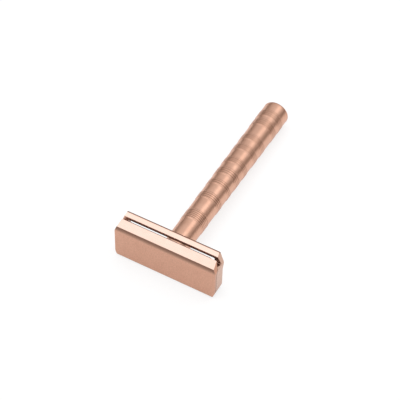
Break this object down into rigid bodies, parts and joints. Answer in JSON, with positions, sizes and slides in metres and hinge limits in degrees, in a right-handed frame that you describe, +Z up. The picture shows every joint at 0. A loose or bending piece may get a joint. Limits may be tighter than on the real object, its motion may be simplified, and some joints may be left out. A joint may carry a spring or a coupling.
{
  "type": "safety razor",
  "caption": "Single-edge safety razor with a flat-backed two-plate head that clamps a half blade, a raised safety bar with a rinse slot, and a slim round screw handle with knurled grip bands.",
  "frame": {"origin": "bottom centre of the bounding box, on the surface the razor lies on", "axes": "+X along the head, +Y along the handle away from the head (the handle axis dips 1.6 degrees towards its end), +Z up, the side the cutting edge faces"},
  "size_m": [0.045, 0.0974, 0.02],
  "materials": {
    "cap_metal": "fine bead-blasted matt rose-gold plate",
    "guard_metal": "satin rose-gold plate",
    "handle_metal": "satin rose-gold plate, turned and knurled",
    "stud_metal": "rolled thread, bright",
    "insert_metal": "plain machined brass",
    "pin_steel": "ground dowel",
    "blade_steel": "stainless strip with a ground edge"
  },
  "bodies": {
    "guard": {"guard_plate": "guard_metal", "locating_pin_left": "pin_steel", "locating_pin_right": "pin_steel"},
    "handle": {"handle_body": "handle_metal", "handle_thread_insert": "insert_metal"},
    "cap": {"top_cap": "cap_metal", "threaded_stud": "stud_metal"},
    "blade": {"razor_blade": "blade_steel"}
  },
  "joints": [
    {"name": "handle_turn", "type": "hinge", "parent": "guard", "child": "handle", "pos_m": [0, -0.04191, 0.00829], "axis": [0, 0.9996, -0.0277], "range_deg": [0, 3240]},
    {"name": "cap_slide", "type": "slide", "parent": "guard", "child": "cap", "axis": [0, -0.9996, 0.0277], "range_m": [0, 0.0072]},
    {"name": "blade_slide", "type": "slide", "parent": "guard", "child": "blade", "axis": [0, -0.9996, 0.0277], "range_m": [0, 0.0036]}
  ],
  "couplings": [
    {"joint": "cap_slide", "follows": "handle_turn", "m_per_rad": 0.00012732},
    {"joint": "blade_slide", "follows": "handle_turn", "m_per_rad": 0.000063661}
  ]
}
